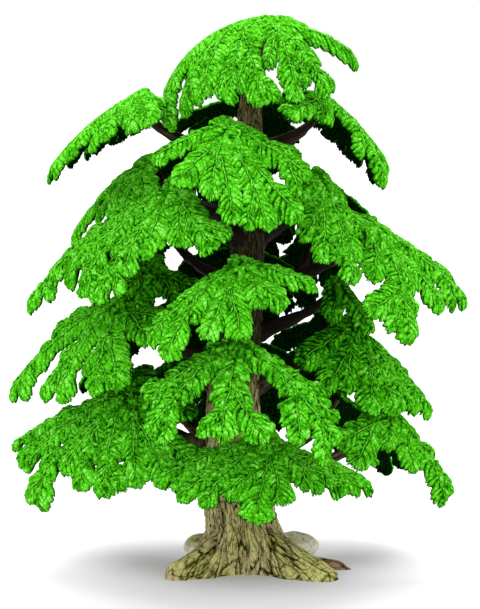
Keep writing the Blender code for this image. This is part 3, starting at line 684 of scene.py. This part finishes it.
placed = []
for pad in PADS[1:]:
    hub, _, _, stem = frame_of(pad)
    curve = along_curve(free_line(pad, placed), BOUGH_RINGS)
    distance = to_trunk(curve)
    radii = np.linspace(BOUGH_ROOT_RADIUS, BOUGH_TIP_RADIUS, BOUGH_RINGS)
    radii = radii + COLLAR_SWELL * np.exp(-np.maximum(distance, 0) / COLLAR_REACH)
    first = int(np.argmax(distance > -INTO_TRUNK))
    climb = hub[None] - stem * np.linspace(STEM_DROP, INTO_PAD, PAD_RINGS + 1)[1:, None]
    centre = np.concatenate([curve[first:], climb])
    radii = np.concatenate([radii[first:], BOUGH_TIP_RADIUS * np.linspace(1, PAD_SWELL, PAD_RINGS)])
    smooth, flow = tube_around(centre, radii, BOUGH_SIDES)
    outward = unit(smooth - centre[:, None])
    grain = grained(smooth, flow, BOUGH_GRAIN_SIZE, BOUGH_GRAIN_LENGTH, 7.7)
    knots = lumps(smooth, KNOT_SIZE, 3.1) - 0.5
    rough = smooth + outward * (grain * BOUGH_GRAIN_HEIGHT + knots * KNOT_HEIGHT)[..., None]
    paint_tone = BOUGH_PAINT + GRAIN_SHARE * grain + KNOT_SHARE * knots
    # Painted shade: the tiers above darken the bough's paint by its height
    paint_tone = np.clip(paint_tone * in_the_shade(smooth[..., 2]), 0, 1)
    bough = skin("bough_" + pad.name + "_bark", capped(rough), paint=capped(paint_tone))
    bpy.ops.object.shade_smooth()
    bough.data.materials.append(limb)
    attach(bough, "root")
    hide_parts("bough_" + pad.name)


# Foliage pads
# Each pad is one moulding of green vinyl, pushed on to its bough: a domed hand of lobes that are one
# sheet near the hub and part towards the tips. Every lobe has a rib with a row of puffed leaflets on
# each side. It is dipped deep green and dry-brushed bright on its crests. Its underside is painted nearly
# black, unbrushed base coat and painted shade, and its top is painted darker under the tier above as
# painted shade.

# A lobe's half-width where its pad gives none, its share of that at the root, and how far out it is whole
HALF_WIDTH = 7.2
ROOT_WIDTH = 0.85
WIDEST_FROM = 0.3
# Its tip rounds off over this many half-widths, and less the blunter it is
TIP_ROUND, TIP_BLUNT, TIP_CURVE = 1.9, 0.25, 2.2
BLUNTNESS = (1.5, 3.4)
# Its edge has rounded side lobes this long, cut in by this share, and a scallop at each leaflet
SIDE_LOBE, SIDE_LOBE_CUT, SIDE_LOBE_CURVE = 8, 0.2, 1.5
SCALLOP, SCALLOP_MEAN, SCALLOP_CHANCE = 0.9, 0.6, 1.0
# Its ridge stands above its edge, and its underside lies below that
LOBE_CROWN, CROWN_CURVE, CROWN_LAST = 2.1, 1.8, 1.1
LOBE_DEPTH, LEAST_DEPTH = 1.5, 0.5
EDGE_ROUND = 0.3
# It bends aside, by this much at most on a lobe of this length, through these parts of a half-turn
LEAN, LEAN_LENGTH, CURL = 1.5, 50, (0.7, 1.4)
DROOP_CURVE = 1.5
# Every other lobe leaves its neighbour's rib this far out, if less than this angle lies between them
FORK_SHARE = (0.26, 0.38)
FORK_ANGLE = 0.6
# Short side lobes leave the ribs of the longer lobes
FINGER_FROM, FINGER_SHARES, FINGER_MOVED = 42, (0.42, 0.68), 0.05
FINGER_ANGLES, FINGER_DROOP = (0.5, 0.72), 1.2
FINGER_PROUD, PROUD_CHANCE = 2.2, (0.5, 1.2)
FINGER_HALF_WIDTH, WIDTH_CHANCE = 4.4, (0.85, 1.15)
# One short lobe, and one more to this many of the pad's own, lie over the hub
COVER_TO_LOBES, COVER_TURN, COVER_START, COVER_LENGTH = 4, 0.4, 3, (14, 19)
COVER_HALF_WIDTH, COVER_RAISED = 5, (0.4, 0.8)
# How much of its part of the flat map a lobe takes up
SHEET_SHARE = 0.96

# Leaflets: how far apart they leave the rib, at what angle there and near the tip, and how they sweep
LEAFLET, LEAFLET_PACE = 2.5, (0.75, 1.25)
LEAFLET_ANGLE, TIP_ANGLE, ANGLE_CHANCE = math.radians(58), math.radians(34), 0.12
LEAFLET_SWEEP = 0.35
# In half-widths: how short of the tip they end, and how far from it and over what stretch they lean
RIB_SHORT, LEANING_FROM, LEANING_FOR = 0.55, 2.2, 1.65
ROOT_LEAFLETS, TIP_LEAFLETS = 3, 3
# Rows of points to a leaflet, from the groove below it: where they lie, its height and its paint
ROW_SHARES = np.array((0.0, 0.13, 0.38, 0.64, 0.88))
PUFF = np.array((0.0, 0.75, 1.0, 0.95, 0.7))
PAINT = np.array((0.24, 0.72, 0.84, 0.82, 0.7))
STEPS = len(PUFF)
# Puff and paint where a lobe closes, and what chance changes on the others
CLOSING = 0.4
LEAST_PUFF, PUFF_CHANCE, LEAFLET_CHANCE, GROOVE_CHANCE = 0.75, 0.5, 0.16, 0.3
LEAFLET_HEIGHT = 0.6
RIB_HALF, RIB_HEIGHT, RIB_FROM, RIB_FADE = 0.45, 0.8, 7, 6
# The shortest that a leaflet stands out past the rib
LEAST_REACH = 0.3
# A row is tried in steps, to this many half-widths, until it leaves the lobe or meets another's
LONGEST_ROW, ROW_STEP = 2.4, 0.1
# Lobes that run together meet half-way between their ribs, with this much overlap
OVERLAP = 0.8
# Shares of the way from rib to edge, with the leaflet's height and paint at each
TOP = (0.0, 0.1, 0.28, 0.46, 0.64, 0.82, 0.94, 1.0)
TOP_PUFF = (0.1, 0.8, 1.0, 0.95, 0.9, 0.95, 0.8, 0.3)
TOP_PAINT = (0.4, 0.88, 1.0, 0.97, 0.93, 1.0, 1.0, 0.9)
# The same underneath, from the edge inwards, with the share of the lobe's depth there
UNDER = ((1.02, 0.55), (0.9, 0.85), (0.45, 1.0))
UNDER_PUFF, UNDER_RELIEF = 0.35, 0.2
# Crinkles all over, in two sizes: how far they stand up and how much paint they catch
Crinkle = namedtuple("Crinkle", "size height catch")
CRINKLES = (Crinkle(1.2, 0.9, 0.65), Crinkle(3.0, 0.8, 0.3))
# Puffs run together across grooves here and there: such a bridge's size, how often it comes, how sharply
# it ends, how far it fills the groove, and its paint
BRIDGE_SIZE, BRIDGE_OFTEN, BRIDGE_SHARP = 2.3, 0.56, 4
BRIDGE_FILL, BRIDGE_PAINT = 0.45, 0.42
# The rows of leaflets waver in waves of this size, by this much in all
WAVER_SIZE, WAVER = 2.6, 1.7

# Paint of the rib's line near the hub and what the raised rib adds, and of the edge below: the underside is
# painted nearly black, its unbrushed base coat and painted shade
RIB_PAINT, RAISED_PAINT = 0.42, 0.75
UNDERSIDE_SHADE_PAINT = 0.05
# The valley where two lobes meet is painted darker, by the wash that gathers there and by painted shade, in
# full from this far off the hub
VALLEY_WASH_AND_SHADE, VALLEY_HALF, VALLEY_FROM = 0.16, 0.6, 14
# Painted shade darkens what the tier above overhangs: the crown's top, how fast the overhang widens
# downwards, its widest, how far up the next tier lies, and how much wider the tree is than deep
OVERHANG_TOP, OVERHANG_SPREAD, OVERHANG_WIDEST = 245, 0.54, 56
TIER_STEP = 24
FLATTENED = 1.6
# How much darker the painted shade leaves a leaf, over which stretch, from where in it, and what a rib is
# spared
TIER_SHADE, TIER_SHADE_EDGE, TIER_SHADE_START, RIB_SPARED = 0.34, 26, 0.35, 0.4
# The fine creases between crumbs of leaf: how pale the crumbs are, how the net of creases is bent aside,
# and how high the crumbs stand
CREASES = Net(1.8, 0.13, 0.2)
CREASE_PALE, CREASE_WAVE, CREASE_BEND, CREASE_HEIGHT = 0.04, 2.0, 1.6, 1.2

# One ring across a lobe, from its left edge over the rib to its right edge and back underneath
side_top = np.array([-1] * len(TOP) + [0] + [1] * len(TOP))
share_top = np.array([*TOP[::-1], 0, *TOP])
puff_top = np.array([*TOP_PUFF[::-1], 0, *TOP_PUFF])
paint_top = np.array([*TOP_PAINT[::-1], 1, *TOP_PAINT])
side_under = np.array([1] * len(UNDER) + [-1] * len(UNDER))
share_under, depth_under = np.array(UNDER + UNDER[::-1]).T
side_of = np.concatenate([side_top, side_under])[None]
share_of = np.concatenate([share_top, share_under])[None]
puff_of = np.concatenate([puff_top, np.full(len(side_under), UNDER_PUFF)])[None]
paint_of = np.concatenate([paint_top, np.zeros(len(side_under))])[None]
top_of = np.arange(side_of.shape[1])[None] < len(side_top)
below_of = np.concatenate([np.zeros(len(side_top)), depth_under])[None]
dice = np.random.default_rng(23)

Lobe = namedtuple("Lobe", "start turn length half_width raised droop clear")


def half_width_at(ahead, lobe, phase, blunt):
    """A lobe's half-width at distances from its root, with the side lobes along its edge."""
    grown = ROOT_WIDTH + (1 - ROOT_WIDTH) * np.clip(ahead / lobe.length / WIDEST_FROM, 0, 1)
    tip_length = lobe.half_width * (TIP_ROUND - TIP_BLUNT * blunt)
    tip = np.clip((ahead - lobe.length + tip_length) / tip_length, 0, 1)
    back = np.clip(-ahead / (ROOT_WIDTH * lobe.half_width), 0, 1)
    notch = 1 - np.abs(np.sin(math.pi * (ahead / SIDE_LOBE + phase)))
    cut = 1 - SIDE_LOBE_CUT * notch**SIDE_LOBE_CURVE
    return lobe.half_width * grown * cut * (1 - tip**blunt) ** (1 / TIP_CURVE) * np.sqrt(1 - back**2)


def on_dome(pad, ahead, across, lift):
    """Points on the pad's dome from their plane distances from its hub and their height off the dome."""
    hub, out, side, up = frame_of(pad)
    distance = np.maximum(np.hypot(ahead, across), 1e-6)
    bend = distance / pad.dome
    outward = ((pad.dome + lift) * np.sin(bend) / distance)[..., None]
    rise = (lift * np.cos(bend) - pad.dome * (1 - np.cos(bend)))[..., None]
    return hub + ahead[..., None] * outward * out + across[..., None] * outward * side + rise * up


def way_of(turn):
    return np.array((math.cos(turn), math.sin(turn)))


def on_plane(lobe, x, y):
    """Places in the pad's plane from distances along a lobe's rib and to the side of it."""
    way = way_of(lobe.turn)
    return lobe.start[0] + x * way[0] - y * way[1], lobe.start[1] + x * way[1] + y * way[0]


def to_rib(ahead, across, lobe):
    """Distance from places in the pad's plane to a lobe's rib."""
    way = way_of(lobe.turn)
    ahead, across = ahead - lobe.start[0], across - lobe.start[1]
    run = np.clip(ahead * way[0] + across * way[1], 0, lobe.length)
    return np.hypot(ahead - run * way[0], across - run * way[1])


def leaflets_passed(rows):
    """How many leaflets lie behind each row of points."""
    return rows // STEPS + ROW_SHARES[rows % STEPS]


def rows_along(lobe):
    """Where each row of points leaves the lobe's rib and its angle, fanned out round root and tip."""
    rib = lobe.length - lobe.half_width * RIB_SHORT
    leaflets = max(2, round(rib / LEAFLET))
    ends = np.arange(leaflets + 1)
    pace = np.cumsum(dice.uniform(*LEAFLET_PACE, leaflets))
    passed = leaflets_passed(np.arange(leaflets * STEPS + 1))
    along = np.interp(passed, ends, np.concatenate([[0], pace / pace[-1] * rib]))
    leaning = along - lobe.length + LEANING_FROM * lobe.half_width
    leaning = np.clip(leaning / (LEANING_FOR * lobe.half_width), 0, 1)
    wobble = np.interp(passed, ends, dice.uniform(-ANGLE_CHANCE, ANGLE_CHANCE, leaflets + 1))
    angle = LEAFLET_ANGLE + (TIP_ANGLE - LEAFLET_ANGLE) * leaning + wobble
    root_share = leaflets_passed(np.arange(ROOT_LEAFLETS * STEPS)) / ROOT_LEAFLETS
    tip_share = leaflets_passed(np.arange(1, TIP_LEAFLETS * STEPS + 1)) / TIP_LEAFLETS
    leave = np.concatenate([np.zeros(len(root_share)), along, np.full(len(tip_share), rib)])
    turned = [math.pi + (angle[0] - math.pi) * root_share, angle, angle[-1] * (1 - tip_share)]
    return leave, np.concatenate(turned)


def half_lobe(lobe, neighbours, leave, angle, blunt, left):
    """For each row on one side of a lobe its reach, its puff, its paint, and if it is a groove."""
    tries = np.arange(0, LONGEST_ROW * lobe.half_width, ROW_STEP)
    x = leave[:, None] + tries * np.cos(angle)[:, None]
    y = tries * np.sin(angle)[:, None]
    inside = y < half_width_at(x, lobe, dice.random(), blunt)
    ahead, beside = on_plane(lobe, x, -y if left else y)
    for other in neighbours:
        inside &= to_rib(ahead, beside, other) > y - OVERLAP
    inside[:, 0] = True
    inside[:, -1] = False
    reach = tries[np.argmin(inside, axis=1)]
    row = np.arange(len(leave))
    closing = (row == 0) | (row == len(leave) - 1)
    # Leaflets on one side stand between those on the other
    shift = STEPS // 2 if left else 0
    step, leaf = (row + shift) % STEPS, (row + shift) // STEPS
    luck = dice.random((leaf.max() + 1, 3))[leaf]
    puff = np.where(closing, CLOSING, PUFF[step] * (LEAST_PUFF + PUFF_CHANCE * luck[:, 0]))
    spread = np.where(step > 0, LEAFLET_CHANCE, GROOVE_CHANCE)
    paint = np.where(closing, CLOSING, PAINT[step] + spread * (luck[:, 1] - 0.5))
    scallop = SCALLOP * (PUFF[step] - SCALLOP_MEAN) + SCALLOP_CHANCE * (luck[:, 2] - 0.5)
    reach = np.maximum(reach + np.where(closing, 0, scallop), RIB_HALF + LEAST_REACH)
    return reach, puff, paint, step == 0


def shaded_by_tiers(tone, points, ribbed):
    """The paint on a lobe's top, with painted shade where the tier above overhangs it."""
    above = np.minimum((OVERHANG_TOP - TIER_STEP - points[..., 2]) * OVERHANG_SPREAD, OVERHANG_WIDEST)
    overhang = above - np.hypot(points[..., 0], points[..., 1] * FLATTENED)
    return tone - TIER_SHADE * np.clip(overhang / TIER_SHADE_EDGE + TIER_SHADE_START, 0, 1) * (1 - RIB_SPARED * ribbed)


def lobe_skin(name, pad, lobe, neighbours, sheet):
    """One lobe: its rows of points in the pad's plane, their height off the dome, and their paint."""
    leave, angle = rows_along(lobe)
    blunt = dice.uniform(*BLUNTNESS)
    halves = [half_lobe(lobe, neighbours, leave, angle, blunt, left) for left in (True, False)]

    def sided(place):
        """A value for each row and column, from those of the left half and the right half."""
        left, right = (half[place][:, None] for half in halves)
        return np.where(side_of < 0, left, np.where(side_of > 0, right, (left + right) / 2))

    reach, puff, paint, groove = sided(0), sided(1) * puff_of, sided(2) * paint_of, sided(3)
    run = np.where(side_of == 0, 0, RIB_HALF + share_of * (reach - RIB_HALF))
    slant = angle[:, None]
    sweep = LEAFLET_SWEEP * reach * (share_of**2 - share_of) * np.sin(slant) * (share_of < 1)
    x = leave[:, None] + run * np.cos(slant) + sweep
    y = side_of * run * np.sin(slant)
    lean, curl = dice.uniform(-LEAN, LEAN) * lobe.length / LEAN_LENGTH, dice.uniform(*CURL)
    bent = y + lean * np.sin(curl * math.pi * x / lobe.length) * np.clip(x / lobe.length, 0, 1)
    ahead, beside = on_plane(lobe, x, bent)
    level = np.stack([ahead, beside, np.full_like(ahead, pad.hub[2])], axis=-1)
    ahead = ahead + WAVER * (lumps(level, WAVER_SIZE, 4.1) - 0.5)
    beside = beside + WAVER * (lumps(level, WAVER_SIZE, 7.3) - 0.5)

    off_ridge = np.hypot(y, np.maximum(x - lobe.length + lobe.half_width, 0)) / lobe.half_width
    crown = -LOBE_CROWN * np.minimum(off_ridge, CROWN_LAST) ** CROWN_CURVE
    crinkled = [lumps(level, crinkle.size) - 0.5 for crinkle in CRINKLES]
    relief = sum(here * crinkle.height for here, crinkle in zip(crinkled, CRINKLES))
    caught = sum(here * crinkle.catch for here, crinkle in zip(crinkled, CRINKLES))
    ribbed = np.clip((x - lobe.clear) / RIB_FADE, 0, 1) * np.clip((lobe.length - x) / RIB_FADE, 0, 1)
    ribbed = (side_of == 0) * ribbed * top_of
    bridge = np.clip((lumps(level, BRIDGE_SIZE, 5.7) - 1 + BRIDGE_OFTEN) * BRIDGE_SHARP, 0, 1)
    bridge = bridge * groove * (side_of != 0) * top_of
    surface = crown - EDGE_ROUND * (share_of >= 1) + LEAFLET_HEIGHT * puff + relief * puff_of
    surface = surface + BRIDGE_FILL * bridge + ribbed * RIB_HEIGHT
    under = np.minimum(crown - EDGE_ROUND, -LOBE_CROWN * LEAST_DEPTH)
    under = under - LOBE_DEPTH * below_of - UNDER_RELIEF * puff
    droop = lobe.droop * np.clip(x / lobe.length, 0, 1) ** DROOP_CURVE
    points = on_dome(pad, ahead, beside, np.where(top_of, surface, under) + lobe.raised - droop)

    tone = np.where(side_of == 0, RIB_PAINT + RAISED_PAINT * ribbed, paint + caught * (puff_of > 0.5))
    tone = tone + BRIDGE_PAINT * bridge
    # Valleys between lobes: darker by wash and by painted shade
    if neighbours:
        other = np.min([to_rib(ahead, beside, near) for near in neighbours], axis=0)
        valley = np.exp(-(((other - np.abs(y)) / VALLEY_HALF) ** 2))
        tone = tone - VALLEY_WASH_AND_SHADE * valley * np.clip(np.hypot(ahead, beside) / VALLEY_FROM, 0, 1)
    # Painted shade: the top is darker under the tiers above, and the underside is painted nearly black
    tone = np.where(top_of, shaded_by_tiers(tone, points, ribbed), UNDERSIDE_SHADE_PAINT * (share_of > 1))
    return skin(name, points, sheet, paint=np.maximum(tone, 0))


leaf, tree, shader = new_finish("painted_foliage", roughness=0.5, specular=0)
tone, place = speckled(tree, size=0.9, share=0.4)
moved = bent_aside(tree, place, CREASE_WAVE, CREASE_BEND, detail=1.0)
creased = cracked(tree, moved, CREASES, CREASE_PALE)
leaf_green = (
    (0.0, (0.001, 0.008, 0.001)),
    (0.2, (0.008, 0.090, 0.001)),
    (0.45, (0.034, 0.290, 0.005)),
    (0.7, (0.082, 0.545, 0.010)),
    (0.9, (0.135, 0.760, 0.024)),
    (1.0, (0.240, 0.820, 0.100)),
)
green = paint_ramp(tree, added(tree, tone, creased), leaf_green)
tree.links.new(green, shader.inputs["Base Color"])
crumbs = linked(tree, "ShaderNodeBump", Height=creased, Distance=CREASE_HEIGHT * MM)
tree.links.new(crumbs.outputs["Normal"], shader.inputs["Normal"])


def straight_lobe(start, tip, half_width, clear):
    start, tip = np.array(start), np.array(tip)
    run = tip - start
    return Lobe(start, math.atan2(run[1], run[0]), float(np.hypot(*run)), half_width, 0.0, 0.0, clear)


def lobes_of(pad):
    """The pad's lobes. Every other one forks off its nearer neighbour's rib."""
    tips = []
    for heading, length, *width in pad.lobes:
        turn = math.radians(half_round(heading - pad.aim))
        tips.append((turn, length, width[0] if width else HALF_WIDTH))
    order = sorted(range(len(tips)), key=lambda k: tips[k][0])
    found = [straight_lobe((0, 0), length * way_of(turn), half, RIB_FROM) for turn, length, half in tips]
    for place in range(1, len(order), 2):
        turn, length, half = tips[order[place]]
        beside = [order[k] for k in (place - 1, place + 1) if k < len(order)]
        parent = min(beside, key=lambda k: abs(tips[k][0] - turn))
        if abs(tips[parent][0] - turn) < FORK_ANGLE:
            out = dice.uniform(*FORK_SHARE) * min(length, tips[parent][1])
            start = out * way_of(tips[parent][0])
            found[order[place]] = straight_lobe(start, length * way_of(turn), half, 0)
    for index, distance, angle, length in pad.forks:
        turn, _, half = tips[index]
        start = distance * way_of(turn)
        found.append(straight_lobe(start, start + length * way_of(turn + math.radians(angle)), half, 0))
    return found


def fingers_of(lobe):
    """Short side lobes of a long one, on one side and then the other."""
    if lobe.length < FINGER_FROM:
        return []
    found = []
    hand = dice.choice((-1, 1))
    for share in FINGER_SHARES:
        angle = dice.uniform(*FINGER_ANGLES)
        share = share + dice.uniform(-FINGER_MOVED, FINGER_MOVED)
        start = lobe.start + way_of(lobe.turn) * lobe.length * share
        length = (lobe.half_width + FINGER_PROUD * dice.uniform(*PROUD_CHANCE)) / math.sin(angle)
        tip = start + length * way_of(lobe.turn + hand * angle)
        finger = straight_lobe(start, tip, FINGER_HALF_WIDTH * dice.uniform(*WIDTH_CHANCE), 0)
        found.append(finger._replace(droop=FINGER_DROOP))
        hand = -hand
    return found


def hub_cover(pad, lobes):
    """A few short lobes over the hub, where the ribs come together."""
    found = []
    for _ in range(1 + len(pad.lobes) // COVER_TO_LOBES):
        turn = lobes[dice.integers(len(pad.lobes))].turn + dice.uniform(-COVER_TURN, COVER_TURN)
        start = dice.uniform(-COVER_START, COVER_START, 2)
        tip = start + dice.uniform(*COVER_LENGTH) * way_of(turn)
        cover = straight_lobe(start, tip, COVER_HALF_WIDTH, RIB_FROM)
        found.append(cover._replace(raised=dice.uniform(*COVER_RAISED)))
    return found


for pad in PADS:
    lobes = lobes_of(pad)
    fingers = [finger for lobe in lobes for finger in fingers_of(lobe)]
    apart = lobes + fingers
    covers = hub_cover(pad, lobes)
    name = "foliage_" + pad.name + "_leaves"
    skins = []
    total = len(apart) + len(covers)
    for index, lobe in enumerate(apart + covers):
        middle = lobe.start + way_of(lobe.turn) * lobe.length / 2
        near = [
            other
            for other in apart
            if other is not lobe and to_rib(*middle, other) < 2 * lobe.half_width + lobe.length / 2
        ]
        sheet = (index / total, 0.0, SHEET_SHARE / total, 1.0)
        skins.append(lobe_skin(name, pad, lobe, near if index < len(apart) else [], sheet))
    bpy.ops.object.select_all(action="DESELECT")
    for part in skins:
        part.select_set(True)
    bpy.context.view_layer.objects.active = skins[0]
    bpy.ops.object.join()
    foliage = bpy.context.object
    foliage.name = foliage.data.name = name
    bpy.ops.object.shade_smooth()
    foliage.data.materials.append(leaf)
    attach(foliage, "root")
    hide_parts("foliage_" + pad.name)


# Studio
# A plain white table top that runs out of sight, under a white sky and two large soft lights. A long lens
# looks slightly down at the model's front, as the photo's does.

FLOOR_SIZE = 40
FLOOR_WHITE = (0.86, 0.86, 0.87, 1)
bpy.ops.object.select_all(action="DESELECT")
bpy.ops.mesh.primitive_plane_add(size=FLOOR_SIZE, location=(0, 0, 0))
floor = bpy.context.object
floor.name = "floor"
matt_white, tree, shader = new_finish("matt_white", roughness=0.9, specular=0.1)
shader.inputs["Base Color"].default_value = FLOOR_WHITE
floor.data.materials.append(matt_white)

# How bright the sky is to the eye, and as a light
SKY_SEEN, SKY_LIGHT = 1.0, 0.5
world = bpy.data.worlds.new("white_studio")
bpy.context.scene.world = world
world.use_nodes = True
tree = world.node_tree
sky = tree.nodes["Background"]
sky.inputs["Color"].default_value = (1, 1, 1, 1)
seen = tree.nodes.new("ShaderNodeLightPath")
strength = ranged(tree, seen.outputs["Is Camera Ray"], To_Min=SKY_LIGHT, To_Max=SKY_SEEN)
tree.links.new(strength, sky.inputs["Strength"])

Lamp = namedtuple("Lamp", "name heading elevation softness strength")
LAMPS = (
    Lamp("front_light", -100, 50, 90, 2.0),
    Lamp("top_light", 90, 58, 50, 3.1),
)
for lamp in LAMPS:
    bpy.ops.object.light_add(type="SUN", location=(0, 0, 1))
    light = bpy.context.object
    light.name = lamp.name
    light.rotation_euler = (math.radians(90 - lamp.elevation), 0, math.radians(90 + lamp.heading))
    light.data.energy = lamp.strength
    light.data.angle = math.radians(lamp.softness)

# The camera's place, how far it looks down, and the photo's width, focal length and middle in pixels
CAMERA_DISTANCE, CAMERA_HEIGHT, CAMERA_DOWN = 900, 205, 5.5
PHOTO_WIDTH, FOCAL_PIXELS, CENTRE_PIXEL = 480, 2024, 243
SENSOR = 36
camera_data = bpy.data.cameras.new("camera")
camera = bpy.data.objects.new("camera", camera_data)
bpy.context.scene.collection.objects.link(camera)
sideways = (PHOTO_WIDTH / 2 - CENTRE_PIXEL) * CAMERA_DISTANCE / FOCAL_PIXELS
camera.location = (sideways * MM, -CAMERA_DISTANCE * MM, CAMERA_HEIGHT * MM)
camera.rotation_euler = (math.radians(90 - CAMERA_DOWN), 0, 0)
camera_data.sensor_fit = "HORIZONTAL"
camera_data.sensor_width = SENSOR
camera_data.lens = FOCAL_PIXELS * SENSOR / PHOTO_WIDTH
bpy.context.scene.camera = camera
bpy.context.scene.view_settings.view_transform = "Standard"
